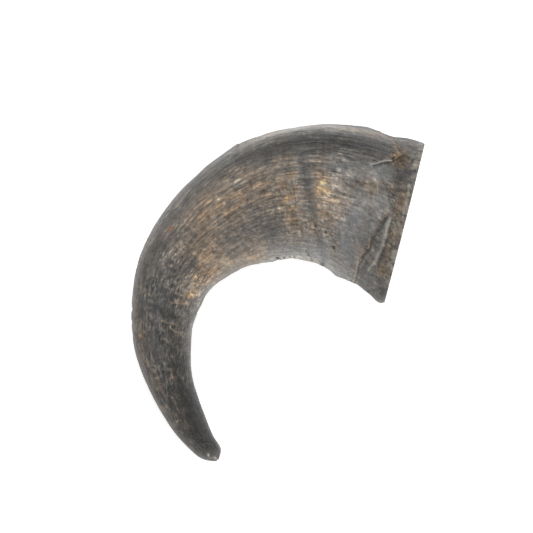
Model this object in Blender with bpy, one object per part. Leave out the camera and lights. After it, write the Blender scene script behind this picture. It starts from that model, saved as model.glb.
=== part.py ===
"""A bovine horn, sawn off at its base and bored through at its tip, lying on its side.

Horn grows as cones of keratin nested like paper cups. The oldest makes the tip, and each younger
one starts inside it and comes to the surface beyond its margin. The youngest two reach the saw
cut. Each cone here is one closed loop of rings: along its outside to its margin, back along its
inside, and through the bore to where it began.

Frame: +X points out of the sawn bell, +Y to the crown of the curve, +Z up from the surface that
the horn lies on. The origin is on that surface, under the middle of the horn's bounding box.

Lengths are in millimetres until the meshes are made. A distance is measured from the tip along
the middle of the horn. An angle goes round a section: 0 on the outer side of the curve, 90 on
top, 180 on the inner side and 270 underneath.
"""

import math
from collections import namedtuple

import bpy
import numpy as np

MM = 0.001

# The horn seen from above, from the tip to the sawn bell: a point of its outer edge and the
# point opposite it on the inner edge, measured from the middle of the saw cut.
EDGES = (
    ((-80.0, -174.5), (-75.5, -169.5)),
    ((-84.5, -174.5), (-76.0, -166.0)),
    ((-93.0, -171.5), (-79.5, -162.0)),
    ((-109.5, -160.0), (-91.0, -148.0)),
    ((-126.0, -143.5), (-102.0, -131.0)),
    ((-141.5, -122.0), (-108.5, -113.5)),
    ((-151.5, -94.0), (-111.0, -92.5)),
    ((-154.0, -62.0), (-107.5, -73.5)),
    ((-146.5, -32.0), (-97.0, -59.0)),
    ((-127.5, 2.0), (-82.5, -48.5)),
    ((-98.0, 30.0), (-66.0, -42.0)),
    ((-68.0, 44.0), (-46.0, -40.0)),
    ((-33.0, 49.5), (-24.0, -45.5)),
    ((0.0, 49.0), (0.0, -53.5)),
)

# Tables by distance from the tip.
HEIGHT_SHARE = ((0, 1.0), (110, 0.98), (200, 0.94), (290, 0.92))  # half height over half width
CONE_THICKNESS = ((0, 2.4), (110, 2.2), (150, 1.8), (230, 2.0), (290, 2.6))

AROUND = 24  # points in a ring
RING_STEP = 11.0
TIP_RINGS = (0.0, 1.2, 3.0, 6.0, 12.0)

GAP = 0.3  # from each cone to the next
NOSE_GAP = 0.7  # the same along the bore, where one hollow ends and the next cone begins
NOSE_LENGTH = 25.0  # over which a hollow widens from the bore
LIP_SHARE = 0.4  # a cone's thickness at its margin, as a share of its full thickness
LIP_LENGTH = 30.0  # over which it thins to that
DIP_LENGTH = 9.0  # over which the next cone rises from under the margin to the outer surface

BORE_RADIUS = 2.5
MOUTH_RADIUS = 3.4
MOUTH_DEPTH = 6.0

KEEL_ANGLE, KEEL_SPREAD, KEEL_RISE = 28.0, 14.0, 0.030  # rises are shares of the half width
GROOVE_ANGLE, GROOVE_SPREAD, GROOVE_RISE = 50.0, 12.0, -0.022
KEEL_FROM, KEEL_FULL = 110.0, 220.0

TIP_LIFT = 3.0
TIP_LIFT_LENGTH = 90.0

# hollow_end is where the cone's hollow has narrowed to the bore, and margin holds
# (angle, distance) points. A cone without a margin reaches the saw cut.
Cone = namedtuple("Cone", "name hollow_end margin colour roughness")
CONES = (
    Cone(
        "tip_cone",
        20.0,
        ((0, 96), (60, 102), (110, 98), (180, 104), (250, 99), (310, 101)),
        (0.047, 0.045, 0.042),
        0.42,
    ),
    Cone(
        "second_growth_cone",
        38.0,
        ((0, 192), (70, 187), (130, 191), (180, 186), (240, 192), (300, 188)),
        (0.120, 0.100, 0.078),
        0.50,
    ),
    Cone(
        "third_growth_cone",
        50.0,
        ((0, 216), (73, 223), (101, 227), (139, 233), (180, 236), (220, 231), (290, 224)),
        (0.150, 0.120, 0.092),
        0.52,
    ),
    Cone(
        "fourth_growth_cone",
        61.0,
        (
            (0, 264),
            (38, 277),
            (56, 263),
            (66, 269),
            (90, 274),
            (115, 267),
            (140, 263),
            (180, 266),
            (225, 271),
            (270, 266),
            (315, 270),
        ),
        (0.135, 0.125, 0.112),
        0.50,
    ),
    Cone("base_collar", 70.0, None, (0.125, 0.108, 0.090), 0.55),
    Cone("inner_lining", 78.0, None, (0.420, 0.335, 0.225), 0.60),
)

ANGLES = np.arange(AROUND) * 360.0 / AROUND


def clear_scene():
    for found in list(bpy.data.objects):
        bpy.data.objects.remove(found, do_unlink=True)


def smooth_step(value):
    value = np.clip(value, 0.0, 1.0)
    return value * value * (3.0 - 2.0 * value)


def by_distance(pairs, distance):
    known = np.array(pairs)
    return np.interp(distance, known[:, 0], known[:, 1])


class Spline:
    """A natural cubic spline through points, one for each knot."""

    def __init__(self, knots, points):
        self.knots = np.array(knots)
        self.points = np.array(points)
        step = np.diff(self.knots)
        rise = np.diff(self.points, axis=0) / step[:, None]
        system = np.eye(len(knots))
        right = np.zeros_like(self.points)
        for row in range(1, len(knots) - 1):
            system[row, row - 1 : row + 2] = (
                step[row - 1],
                2.0 * (step[row - 1] + step[row]),
                step[row],
            )
            right[row] = 6.0 * (rise[row] - rise[row - 1])
        self.bend = np.linalg.solve(system, right)

    def __call__(self, where):
        low = np.clip(np.searchsorted(self.knots, where) - 1, 0, len(self.knots) - 2)
        step = (self.knots[low + 1] - self.knots[low])[..., None]
        before = (self.knots[low + 1] - where)[..., None] / step
        after = 1.0 - before
        straight = before * self.points[low] + after * self.points[low + 1]
        bent = (before**3 - before) * self.bend[low] + (after**3 - after) * self.bend[low + 1]
        return straight + bent * step**2 / 6.0


def edge_splines():
    """The outer and the inner edge as splines over distance, and the horn's whole length."""
    edges = np.array(EDGES)
    middle = edges.mean(axis=1)
    knots = np.insert(np.cumsum(np.linalg.norm(np.diff(middle, axis=0), axis=1)), 0, 0.0)
    return Spline(knots, edges[:, 0]), Spline(knots, edges[:, 1]), knots[-1]


OUTER_EDGE, INNER_EDGE, LENGTH = edge_splines()


def margin_of(cone):
    """The distance of the cone's margin at each angle of a ring."""
    if cone.margin is None:
        return np.full(AROUND, LENGTH)
    known = np.array(cone.margin, dtype=float)
    return np.interp(ANGLES, known[:, 0], known[:, 1], period=360.0)


def ring_lattice():
    """The rings that all cones share, as distances at each angle. Each hollow's end and each
    margin is a ring, so that facing surfaces have parallel facets. It returns the rings and
    the number of the ring on each hollow's end and on each margin."""
    lines = [np.full(AROUND, distance) for distance in TIP_RINGS]
    lines += [np.full(AROUND, cone.hollow_end) for cone in CONES]
    lines += [margin_of(cone) for cone in CONES if cone.margin is not None]
    lines.append(np.full(AROUND, LENGTH))
    rings = [lines[0]]
    numbers = [0]
    for near, far in zip(lines, lines[1:]):
        count = max(1, round(float(np.mean(far - near)) / RING_STEP))
        rings += [near + (far - near) * step / count for step in range(1, count + 1)]
        numbers.append(len(rings) - 1)
    first_end = len(TIP_RINGS)
    ends = numbers[first_end : first_end + len(CONES)]
    margins = numbers[first_end + len(CONES) :]
    margins += [numbers[-1]] * (len(CONES) - len(margins))
    return rings, ends, margins


def thickness_of(cone, distance):
    """The cone's thickness up to its margin, and beyond it the dip that it leaves behind."""
    full = by_distance(CONE_THICKNESS, distance)
    if cone.margin is None:
        return full
    margin = margin_of(cone)
    lip = LIP_SHARE * by_distance(CONE_THICKNESS, margin)
    covered = lip + (full - lip) * smooth_step((margin - distance) / LIP_LENGTH)
    dip = lip * np.exp(-np.maximum(distance - margin, 0.0) / DIP_LENGTH)
    return np.where(distance <= margin, covered, dip)


def depth_inside(number, distance):
    """How deep below the outer surface the inside of cone number lies."""
    return sum(thickness_of(cone, distance) for cone in CONES[: number + 1])


def depth_outside(number, distance):
    """The same for its outside, which keeps the gap to the cone around it."""
    if number == 0:
        return np.zeros(AROUND)
    beyond = np.maximum(distance - margin_of(CONES[number - 1]), 0.0)
    return depth_inside(number - 1, distance) + GAP * np.exp(-beyond / DIP_LENGTH)


def bore_radius(distance):
    flare = np.clip(1.0 - distance / MOUTH_DEPTH, 0.0, 1.0)
    return BORE_RADIUS + (MOUTH_RADIUS - BORE_RADIUS) * flare**2


def keel(distance):
    """The soft keel on the outer upper side and the groove under it, as a share of half width."""
    rise = KEEL_RISE * np.exp(-(((ANGLES - KEEL_ANGLE) / KEEL_SPREAD) ** 2))
    rise += GROOVE_RISE * np.exp(-(((ANGLES - GROOVE_ANGLE) / GROOVE_SPREAD) ** 2))
    return rise * smooth_step((distance - KEEL_FROM) / (KEEL_FULL - KEEL_FROM))


def ring_points(distance, depth, opened):
    """The points of a ring at a depth below the outer surface. opened is 0 where the ring has
    closed down to the bore and 1 where it follows the outer surface."""
    outer, inner = OUTER_EDGE(distance), INNER_EDGE(distance)
    middle = (outer + inner) / 2.0
    half_width = np.linalg.norm(outer - inner, axis=1) / 2.0
    half_height = half_width * by_distance(HEIGHT_SHARE, distance)
    outward = (outer - inner) / (2.0 * half_width[:, None])
    bore = bore_radius(distance)
    swell = keel(distance) * half_width
    wide = bore + (half_width - depth + swell - bore) * opened
    tall = bore + (half_height - depth + swell - bore) * opened
    lift = TIP_LIFT * smooth_step(1.0 - distance / TIP_LIFT_LENGTH)
    level = half_height + lift
    turn = np.radians(ANGLES)
    flat = middle + outward * (wide * np.cos(turn))[:, None]
    return np.column_stack([flat, level + tall * np.sin(turn)])


def opening_of(distance, start):
    """How far a hollow that starts here has opened: a rounded nose, then fully open."""
    along = np.clip((distance - start) / NOSE_LENGTH, 0.0, 1.0)
    return np.sqrt(along * (2.0 - along))


def outside_rings(number, rings, ends, margins):
    if number == 0:
        return [ring_points(ring, 0.0, 1.0) for ring in rings[: margins[0] + 1]]
    start = CONES[number - 1].hollow_end + NOSE_GAP
    first = ends[number - 1]
    chosen = [np.full(AROUND, start)] + rings[first + 1 : margins[number] + 1]
    return [
        ring_points(ring, depth_outside(number, ring), opening_of(ring, start))
        for ring in chosen
    ]


def inside_rings(number, rings, ends, margins):
    start = CONES[number].hollow_end
    chosen = rings[ends[number] : margins[number] + 1]
    return [
        ring_points(ring, depth_inside(number, ring), opening_of(ring, start))
        for ring in reversed(chosen)
    ]


def bore_rings(number, rings, ends):
    first = ends[number - 1] if number else 0
    return [ring_points(ring, 0.0, 0.0) for ring in reversed(rings[first + 1 : ends[number]])]


def loop_mesh(name, loop, offset):
    """A closed mesh from rings of points, each joined to the next and the last to the first."""
    points = (np.concatenate(loop) + offset) * MM
    faces = []
    for ring in range(len(loop)):
        here = ring * AROUND
        there = (ring + 1) % len(loop) * AROUND
        for side in range(AROUND):
            after = (side + 1) % AROUND
            faces.append((here + side, here + after, there + after, there + side))
    mesh = bpy.data.meshes.new(name)
    mesh.from_pydata(points.tolist(), [], faces)
    mesh.shade_smooth()
    mesh.set_sharp_from_angle(angle=math.radians(40.0))
    return mesh


def keratin(cone):
    material = bpy.data.materials.new(cone.name + "_keratin")
    material.use_nodes = True
    shader = material.node_tree.nodes["Principled BSDF"]
    shader.inputs["Base Color"].default_value = (*cone.colour, 1.0)
    shader.inputs["Roughness"].default_value = cone.roughness
    shader.inputs["Metallic"].default_value = 0.0
    return material


def build_horn():
    rings, ends, margins = ring_lattice()
    outline = np.concatenate([ring_points(ring, 0.0, 1.0) for ring in rings])
    low, high = outline.min(axis=0), outline.max(axis=0)
    offset = np.array([-(low[0] + high[0]) / 2.0, -(low[1] + high[1]) / 2.0, -low[2]])
    for number, cone in enumerate(CONES):
        loop = outside_rings(number, rings, ends, margins)
        loop += inside_rings(number, rings, ends, margins)
        loop += bore_rings(number, rings, ends)
        mesh = loop_mesh(cone.name, loop, offset)
        mesh.materials.append(keratin(cone))
        bpy.context.scene.collection.objects.link(bpy.data.objects.new(cone.name, mesh))


clear_scene()
build_horn()
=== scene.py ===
"""The looks of a natural bovine horn made into a shofar.

Each of the six CAD growth cones is replaced by a finely meshed cone of the same shape, with its
growth rings, fibres, cracks, pits and flaking margins in the mesh, and its colour worked out on
a map of the horn's skin. The map's rows are distances from the tip along the horn, and its
columns are angles round it: 0 on the outer side of the curve, 90 on top, 180 on the inner side
and 270 underneath. Lengths are in millimetres until the meshes are made.
"""

import math
from collections import namedtuple

import bpy
import numpy as np
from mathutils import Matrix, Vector


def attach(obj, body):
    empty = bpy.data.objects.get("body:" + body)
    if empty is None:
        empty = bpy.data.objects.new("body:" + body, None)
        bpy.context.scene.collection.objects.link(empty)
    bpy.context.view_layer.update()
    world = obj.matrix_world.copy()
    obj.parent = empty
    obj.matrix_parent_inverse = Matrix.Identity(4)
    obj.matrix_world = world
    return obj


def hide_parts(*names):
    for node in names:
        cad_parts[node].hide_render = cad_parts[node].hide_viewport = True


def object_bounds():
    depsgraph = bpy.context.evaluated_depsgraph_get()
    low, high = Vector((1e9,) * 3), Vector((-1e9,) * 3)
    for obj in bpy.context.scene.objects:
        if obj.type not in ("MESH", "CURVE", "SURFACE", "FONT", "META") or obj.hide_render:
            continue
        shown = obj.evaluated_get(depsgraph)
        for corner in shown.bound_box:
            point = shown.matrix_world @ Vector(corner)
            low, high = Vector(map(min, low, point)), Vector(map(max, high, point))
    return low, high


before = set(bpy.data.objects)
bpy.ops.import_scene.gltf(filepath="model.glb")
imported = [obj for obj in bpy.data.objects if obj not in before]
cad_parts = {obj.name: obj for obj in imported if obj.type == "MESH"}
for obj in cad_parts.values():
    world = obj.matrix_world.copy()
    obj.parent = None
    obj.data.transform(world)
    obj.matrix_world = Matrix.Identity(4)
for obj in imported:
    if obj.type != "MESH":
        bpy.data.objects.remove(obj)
CAD_LOW, CAD_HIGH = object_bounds()

MM = 0.001

# ---------------------------------------------------------------- the horn's form

# A point of the outer edge and the point opposite it on the inner edge, from the tip to the bell.
EDGES = (
    ((-80.0, -174.5), (-75.5, -169.5)), ((-84.5, -174.5), (-76.0, -166.0)),
    ((-93.0, -171.5), (-79.5, -162.0)), ((-109.5, -160.0), (-91.0, -148.0)),
    ((-126.0, -143.5), (-102.0, -131.0)), ((-141.5, -122.0), (-108.5, -113.5)),
    ((-151.5, -94.0), (-111.0, -92.5)), ((-154.0, -62.0), (-107.5, -73.5)),
    ((-146.5, -32.0), (-97.0, -59.0)), ((-127.5, 2.0), (-82.5, -48.5)),
    ((-98.0, 30.0), (-66.0, -42.0)), ((-68.0, 44.0), (-46.0, -40.0)),
    ((-33.0, 49.5), (-24.0, -45.5)), ((0.0, 49.0), (0.0, -53.5)),
)
HEIGHT_SHARE = ((0, 1.0), (110, 0.98), (200, 0.94), (290, 0.92))  # half height over half width
CONE_THICKNESS = ((0, 2.4), (110, 2.2), (150, 1.8), (230, 2.0), (290, 2.6))

GAP = 0.10  # from each cone to the next
NOSE_GAP = 0.7  # the same along the bore
NOSE_LENGTH = 25.0  # over which a hollow widens from the bore
LIP_LENGTH = 30.0  # over which a cone thins to its lip
RELIEF_DEPTH = 3.0  # how far down the surface's relief reaches

TIP_END = -2.1  # the end is rounded off from this far before the plan's first point
TIP_ROUND = 1.3
TIP_ROUND_FROM = 2.4
BORE_RADIUS = 2.5
MOUTH_RADIUS = 1.6  # the rounded end narrows the bore a little
MOUTH_DEPTH = 4.0
BORE_DEPTH = 20.0  # counts as the depth of the bore's wall below the skin

KEEL_ANGLE, KEEL_SPREAD, KEEL_RISE = 28.0, 14.0, 0.030  # rises are shares of the half width
GROOVE_ANGLE, GROOVE_SPREAD, GROOVE_RISE = 50.0, 12.0, -0.022
KEEL_FROM, KEEL_FULL = 110.0, 220.0

TIP_LIFT = 3.0
TIP_LIFT_LENGTH = 90.0

# margin holds (angle, distance) points, lip its thickness there in the same way, ragged how far
# it wanders, and dip the length over which the next cone rises from under it. around is the
# number of points in a ring, and step the length of a face where the cone is seen.
Cone = namedtuple("Cone", "name slot hollow_end margin lip ragged dip around step")
CONES = (
    Cone(
        "tip_cone", "tip_keratin", 20.0, ((0, 96), (60, 102), (110, 98), (180, 104), (250, 99),
        (310, 101)), ((0, 0.30), (40, 0.06), (140, 0.06), (180, 0.20), (270, 0.2)), 1.6, 5.0,
        300, 0.5,
    ),
    Cone(
        "second_growth_cone", "weathered_keratin", 38.0, ((0, 192), (70, 187), (130, 191),
        (180, 186), (240, 192), (300, 188)), ((0, 0.3), (25, 0.12), (50, 0.06), (140, 0.06),
        (180, 0.2), (250, 0.2), (320, 0.4)), 1.6, 10.0, 400, 0.55,
    ),
    Cone(
        "third_growth_cone", "scratched_keratin", 50.0, ((0, 216), (73, 223), (101, 227),
        (139, 233), (180, 236), (220, 231), (290, 224)), ((0, 0.1), (50, 0.08), (130, 0.08),
        (180, 0.2), (250, 0.4), (330, 0.2)), 1.4, 6.0, 480, 0.5,
    ),
    Cone(
        "fourth_growth_cone", "grey_keratin", 61.0, ((0, 261), (10, 262.5), (20, 267),
        (31, 273), (40, 277), (48, 271.5), (57, 261), (66, 268), (86, 278), (100, 271),
        (116, 268), (127, 264), (145, 262.5), (180, 262), (225, 271), (270, 266), (315, 270)),
        ((0, 0.7), (40, 0.6), (58, 0.35), (75, 0.15), (150, 0.15), (200, 0.6), (300, 0.6)), 1.5,
        7.0, 560, 0.5,
    ),
    Cone("base_collar", "flaking_keratin", 70.0, None, None, 0.0, 1.0, 560, 0.45),
    Cone("inner_lining", "pale_keratin", 78.0, None, None, 0.0, 1.0, 360, 1.0),
)


def smooth_step(value):
    value = np.clip(value, 0.0, 1.0)
    return value * value * (3.0 - 2.0 * value)


def by_distance(pairs, distance):
    known = np.array(pairs)
    return np.interp(distance, known[:, 0], known[:, 1])


def by_angle(pairs, angles):
    known = np.array(pairs, dtype=float)
    return np.interp(angles, known[:, 0], known[:, 1], period=360.0)


class Spline:
    """A natural cubic spline through points, one for each knot."""

    def __init__(self, knots, points):
        self.knots = np.array(knots)
        self.points = np.array(points)
        step = np.diff(self.knots)
        rise = np.diff(self.points, axis=0) / step[:, None]
        system = np.eye(len(knots))
        right = np.zeros_like(self.points)
        for row in range(1, len(knots) - 1):
            system[row, row - 1 : row + 2] = (
                step[row - 1],
                2.0 * (step[row - 1] + step[row]),
                step[row],
            )
            right[row] = 6.0 * (rise[row] - rise[row - 1])
        self.bend = np.linalg.solve(system, right)

    def __call__(self, where):
        low = np.clip(np.searchsorted(self.knots, where) - 1, 0, len(self.knots) - 2)
        step = (self.knots[low + 1] - self.knots[low])[..., None]
        before = (self.knots[low + 1] - where)[..., None] / step
        after = 1.0 - before
        straight = before * self.points[low] + after * self.points[low + 1]
        bent = (before**3 - before) * self.bend[low] + (after**3 - after) * self.bend[low + 1]
        return straight + bent * step**2 / 6.0


def edge_splines():
    """The outer and the inner edge as splines over distance, and the horn's whole length."""
    edges = np.array(EDGES)
    middle = edges.mean(axis=1)
    knots = np.insert(np.cumsum(np.linalg.norm(np.diff(middle, axis=0), axis=1)), 0, 0.0)
    return Spline(knots, edges[:, 0]), Spline(knots, edges[:, 1]), knots[-1]


OUTER_EDGE, INNER_EDGE, LENGTH = edge_splines()

# ---------------------------------------------------------------- maps of the skin

ROW_STEP = 0.25
ROWS = int(LENGTH / ROW_STEP) + 2
COLUMNS = 1440
COLUMN_STEP = 360.0 / COLUMNS
COARSE = 4  # soft noise is worked out at every fourth row and column
CLOUD_CELLS = 64  # the cells of a noise table along one side

DISTANCE = (np.arange(ROWS) * ROW_STEP)[:, None] * np.ones((1, COLUMNS))
ANGLE = (np.arange(COLUMNS) * COLUMN_STEP)[None, :] * np.ones((ROWS, 1))


def half_sizes(distance):
    outer, inner = OUTER_EDGE(distance), INNER_EDGE(distance)
    half_width = np.linalg.norm(outer - inner, axis=-1) / 2.0
    return half_width, half_width * by_distance(HEIGHT_SHARE, distance)


ROW_WIDTH, ROW_HEIGHT = half_sizes(DISTANCE[:, 0])
ROW_RADIUS = (ROW_WIDTH + ROW_HEIGHT)[:, None] / 2.0
# The skin's points on the horn as if it were straightened, so that noise has no seam.
STRAIGHT = np.stack(
    [
        DISTANCE,
        ROW_WIDTH[:, None] * np.cos(np.radians(ANGLE)),
        ROW_HEIGHT[:, None] * np.sin(np.radians(ANGLE)),
    ],
    axis=-1,
).astype(np.float32)


def enlarge(coarse):
    """A map known at every COARSE-th row and column, filled in between them."""
    row = np.minimum(np.arange(ROWS) / COARSE, len(coarse) - 1.001)
    column = np.arange(COLUMNS) / COARSE
    top = row.astype(int)
    left = column.astype(int)
    down = (row - top)[:, None]
    side = column - left
    closed = np.concatenate([coarse, coarse[:, :1]], axis=1)
    rows = closed[top] * (1.0 - down) + closed[top + 1] * down
    return rows[:, left] * (1.0 - side) + rows[:, left + 1] * side


def cloud(size, seed, stretch=1.0):
    """Soft noise from -1 to 1 in lumps of this size, drawn out along the horn by stretch."""
    table = np.random.default_rng(seed).uniform(-1.0, 1.0, CLOUD_CELLS**3).astype(np.float32)
    coarse = size >= 4.0
    points = STRAIGHT[::COARSE, ::COARSE] if coarse else STRAIGHT
    low, high, part = [], [], []
    for axis in range(3):
        place = points[..., axis] / (size * (stretch if axis == 0 else 1.0)) + 1000.0
        cell = np.floor(place)
        part.append(smooth_step(place - cell))
        low.append(cell.astype(np.int32) % CLOUD_CELLS)
        high.append((low[axis] + 1) % CLOUD_CELLS)
    found = 0.0
    for corner in range(8):
        index = 0
        weight = 1.0
        for axis in range(3):
            far = corner >> axis & 1
            index = index * CLOUD_CELLS + (high[axis] if far else low[axis])
            weight = weight * (part[axis] if far else 1.0 - part[axis])
        found = found + weight * table[index]
    return enlarge(found) if coarse else found


def clouds(size, seed, levels, stretch=1.0):
    """Layers of cloud, each half the size and half the strength of the one before."""
    total = sum(
        cloud(size / 2**level, seed + level, stretch) / 2**level for level in range(levels)
    )
    return total / (2.0 - 0.5 ** (levels - 1))


def fibres(width, length, seed, slant=0.0):
    """Noise from -1 to 1 in threads along the horn. They narrow towards the tip as real ones do.
    width is a thread's width in degrees, and slant leans the threads, in degrees per mm."""
    random = np.random.default_rng(seed)
    across = max(4, round(360.0 / width))
    along = int(LENGTH / length) + 3
    table = random.uniform(-1.0, 1.0, (along, across))
    shift = random.uniform(0.0, 1.0, across)
    column = (ANGLE + slant * DISTANCE) / 360.0 * across
    left = np.floor(column).astype(int)
    part = smooth_step(column - left)
    total = 0.0
    for side, weight in ((left, 1.0 - part), (left + 1, part)):
        side = side % across
        row = DISTANCE / length + shift[side]
        low = np.floor(row).astype(int)
        fade = smooth_step(row - low)
        value = table[low, side] * (1.0 - fade) + table[low + 1, side] * fade
        total = total + weight * value
    return total


def angle_apart(angle, other):
    return (angle - other + 180.0) % 360.0 - 180.0


def spot(distance, angle, length, width, power=2.0):
    """A soft spot from 0 to 1. Its length is along the horn and its width round it, in mm."""
    along = (DISTANCE - distance) / length
    across = angle_apart(ANGLE, angle) * math.pi / 180.0 * ROW_RADIUS / width
    return np.exp(-((along**2 + across**2) ** (power / 2.0)))


def spots(table):
    """The sum of spots, each given as distance, angle, length, width, strength."""
    return sum(strength * spot(*place) for *place, strength in table)


def paint(field, distance, angle, strength, width):
    """Draws round dabs on a map, each raising it to at least its strength."""
    row = distance / ROW_STEP
    column = angle / COLUMN_STEP
    near_row = np.round(row).astype(int)
    near_column = np.round(column).astype(int)
    radius = np.interp(distance, DISTANCE[:, 0], ROW_RADIUS[:, 0])
    column_length = np.radians(COLUMN_STEP) * radius
    tall = int(np.ceil(2.0 * np.max(width) / ROW_STEP))
    wide = min(40, int(np.ceil(2.0 * np.max(width) / column_length.min())))
    for down in range(-tall, tall + 1):
        for side in range(-wide, wide + 1):
            at_row = near_row + down
            at_column = near_column + side
            apart = np.hypot((at_row - row) * ROW_STEP, (at_column - column) * column_length)
            value = strength * np.exp(-((apart / width) ** 2))
            inside = (at_row >= 0) & (at_row < ROWS) & (value > 0.01)
            np.maximum.at(field, (at_row[inside], at_column[inside] % COLUMNS), value[inside])


def path_points(corners, spacing=0.2):
    """Points along a line of (distance, angle) corners, and how far along it each one is."""
    corners = np.array(corners, dtype=float)
    radius = np.interp(corners[:, 0], DISTANCE[:, 0], ROW_RADIUS[:, 0])
    step = np.diff(corners, axis=0)
    length = np.hypot(step[:, 0], np.radians(step[:, 1]) * radius[:-1])
    knots = np.insert(np.cumsum(length), 0, 0.0)
    along = np.arange(0.0, knots[-1], spacing)
    distance = np.interp(along, knots, corners[:, 0])
    angle = np.interp(along, knots, corners[:, 1])
    return distance, angle, along / knots[-1]


def line_map(lines, seed, wander=0.5):
    """A map of listed lines, each given as strength, width and its corners."""
    field = np.zeros((ROWS, COLUMNS))
    random = np.random.default_rng(seed)
    for strength, width, corners in lines:
        distance, angle, along = path_points(corners)
        steps = np.cumsum(random.normal(0.0, 0.12, (2, len(along))), axis=1)
        drift = steps - steps[:, :1] - (steps[:, -1:] - steps[:, :1]) * along
        radius = np.interp(distance, DISTANCE[:, 0], ROW_RADIUS[:, 0])
        distance = distance + wander * drift[0]
        angle = angle + np.degrees(wander * drift[1] / radius)
        weight = strength * random.uniform(0.55, 1.0, len(along))
        paint(field, distance, angle % 360.0, weight, width)
    return field


SCRATCH_STEP = 0.22  # from one dab of a scratch to the next


def scratches(seed, count, area, heading, length, width, strength):
    """Random fine scratches. area holds the lowest and highest distance and angle, heading the
    mean direction, 0 along the horn and 90 round it, with its spread; the others are ranges."""
    random = np.random.default_rng(seed)
    begin = random.uniform(area[0], area[1], count)
    angle = random.uniform(area[2], area[3], count)
    turn = np.radians(random.normal(heading[0], heading[1], count))
    run = random.uniform(length[0], length[1], count)
    bow = random.normal(0.0, 0.06, count)
    power = random.uniform(strength[0], strength[1], count)
    field = np.zeros((ROWS, COLUMNS))
    pieces = []
    for number in range(count):
        along = np.arange(0.0, run[number], SCRATCH_STEP)
        way = turn[number] + bow[number] * along / run[number] * 3.0
        down = begin[number] + np.cumsum(np.cos(way)) * SCRATCH_STEP
        radius = np.interp(down, DISTANCE[:, 0], ROW_RADIUS[:, 0])
        side = angle[number] + np.degrees(np.cumsum(np.sin(way)) * SCRATCH_STEP / radius)
        swing = np.sin(np.pi * np.minimum((along + SCRATCH_STEP / 2.0) / run[number], 1.0))
        fade = np.maximum(swing, 0.0) ** 0.5 * power[number]
        pieces.append((down, side % 360.0, fade * random.uniform(0.5, 1.0, len(along))))
    down, side, fade = (np.concatenate(part) for part in zip(*pieces))
    paint(field, down, side, fade, random.uniform(width[0], width[1], len(down)))
    return field


def wavy(steps, place):
    """Random steps joined smoothly, read at places counted in steps, round and round."""
    low = np.floor(place).astype(int)
    part = smooth_step(place - low)
    count = len(steps)
    return steps[low % count] * (1.0 - part) + steps[(low + 1) % count] * part


def margin_line(cone):
    """The cone's margin at each column of the map, with its ragged edge."""
    random = np.random.default_rng(len(cone.name))
    line = by_angle(cone.margin, ANGLE[0])
    for cells, share in ((30, 0.5), (75, 0.3), (170, 0.22)):
        steps = random.uniform(-1.0, 1.0, cells)
        line = line + cone.ragged * share * wavy(steps, ANGLE[0] / 360.0 * cells)
    return line


MARGINS = [margin_line(cone) for cone in CONES if cone.margin]

# ---------------------------------------------------------------- relief

# Places where the outline swells or falls away: distance, angle, length, width, height.
SWELLS = (
    (254, 0, 12, 16, 0.6), (268, 4, 6, 20, -1.5), (193, 0, 6, 14, 1.3), (184, 4, 10, 14, 0.5),
    (218, 2, 16, 16, -0.5), (254, 180, 8, 18, 0.7), (262, 178, 8, 16, -0.8), (237, 180, 5, 14, 0.9),
    (210, 180, 7, 14, -1.0), (190, 180, 8, 14, 0.8), (147, 180, 12, 12, 0.9),
    (111, 180, 7, 10, 0.8), (92, 180, 8, 8, -0.6), (283, 176, 4, 10, 1.2), (32, 0, 36, 12, 0.55),
    (218, 0, 8, 14, -0.2), (270, 180, 8, 14, -0.3), (247, 180, 4, 12, 0.7), (36, 180, 26, 10, 0.45),
    (182, 180, 14, 12, 0.4), (248, 180, 6, 12, 0.7), (289, 178, 2.0, 7, -1.5),
    (289, 0, 1.5, 6, -0.7), (272, 2, 4, 14, -0.55), (260.5, 0, 3, 10, -0.6), (236, 2, 5, 10, 0.4),
    (230, 178, 4, 8, -0.4), (97, 0, 1.4, 7, -0.5), (90, 2, 1.2, 6, -0.4), (84, 358, 1.6, 8, -0.3),
    (8, 180, 3.5, 6, -0.2),
)
# Pits and cracks: depth, width and corners.
CRACKS = (
    (2.6, 1.3, ((197, 164), (198, 171), (197, 178), (198, 184))),
    (1.4, 0.9, ((203, 165), (203.5, 172), (203, 176))), (1.0, 0.8, ((208, 162), (209, 168))),
    (1.0, 0.7, ((212, 161), (212, 168), (213, 173))),
    (0.7, 0.6, ((222, 148), (224, 154), (225.5, 160))), (1.0, 0.7, ((231, 160), (233.5, 166))),
    (0.6, 0.5, ((236, 158), (238, 163))),
    (0.45, 0.5, ((280, 86), (275.5, 94), (272.5, 101), (270, 108), (269.5, 118), (265, 128))),
    (0.4, 0.4, ((264, 132), (264.2, 142), (264, 152), (263, 176))),
    (0.5, 0.8, ((279.6, 92), (279.5, 101), (279, 110), (277.9, 117), (277, 129))),
    (0.5, 0.5, ((284, 196), (281, 205), (282, 222), (279, 238))),
    (0.7, 0.6, ((246, 205), (244, 214), (247, 226), (245, 236))),
    (0.5, 0.5, ((212, 300), (214, 312), (211, 322))),
)
# Pits, sunk into the relief and painted black as their shade: distance, angle, length, width, depth.
PITS = (
    (234.8, 170, 1.7, 5.5, 1.0), (226.0, 166, 0.9, 3.2, 1.0), (223.4, 154, 0.8, 1.1, 1.0),
    (260, 172, 0.8, 4.0, 0.9), (274.6, 168, 1.1, 3.5, 0.9), (222.6, 119, 0.9, 0.8, 1.2),
    (224.8, 113, 0.8, 0.7, 1.0), (219.4, 124, 0.7, 0.8, 1.0), (229.5, 118, 0.6, 0.9, 0.9),
    (236.6, 121, 0.7, 0.9, 0.9), (243.2, 133, 0.7, 1.2, 0.9), (262.5, 52, 1.2, 1.0, 1.0),
    (272.8, 45, 0.8, 0.9, 1.2),
)
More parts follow.
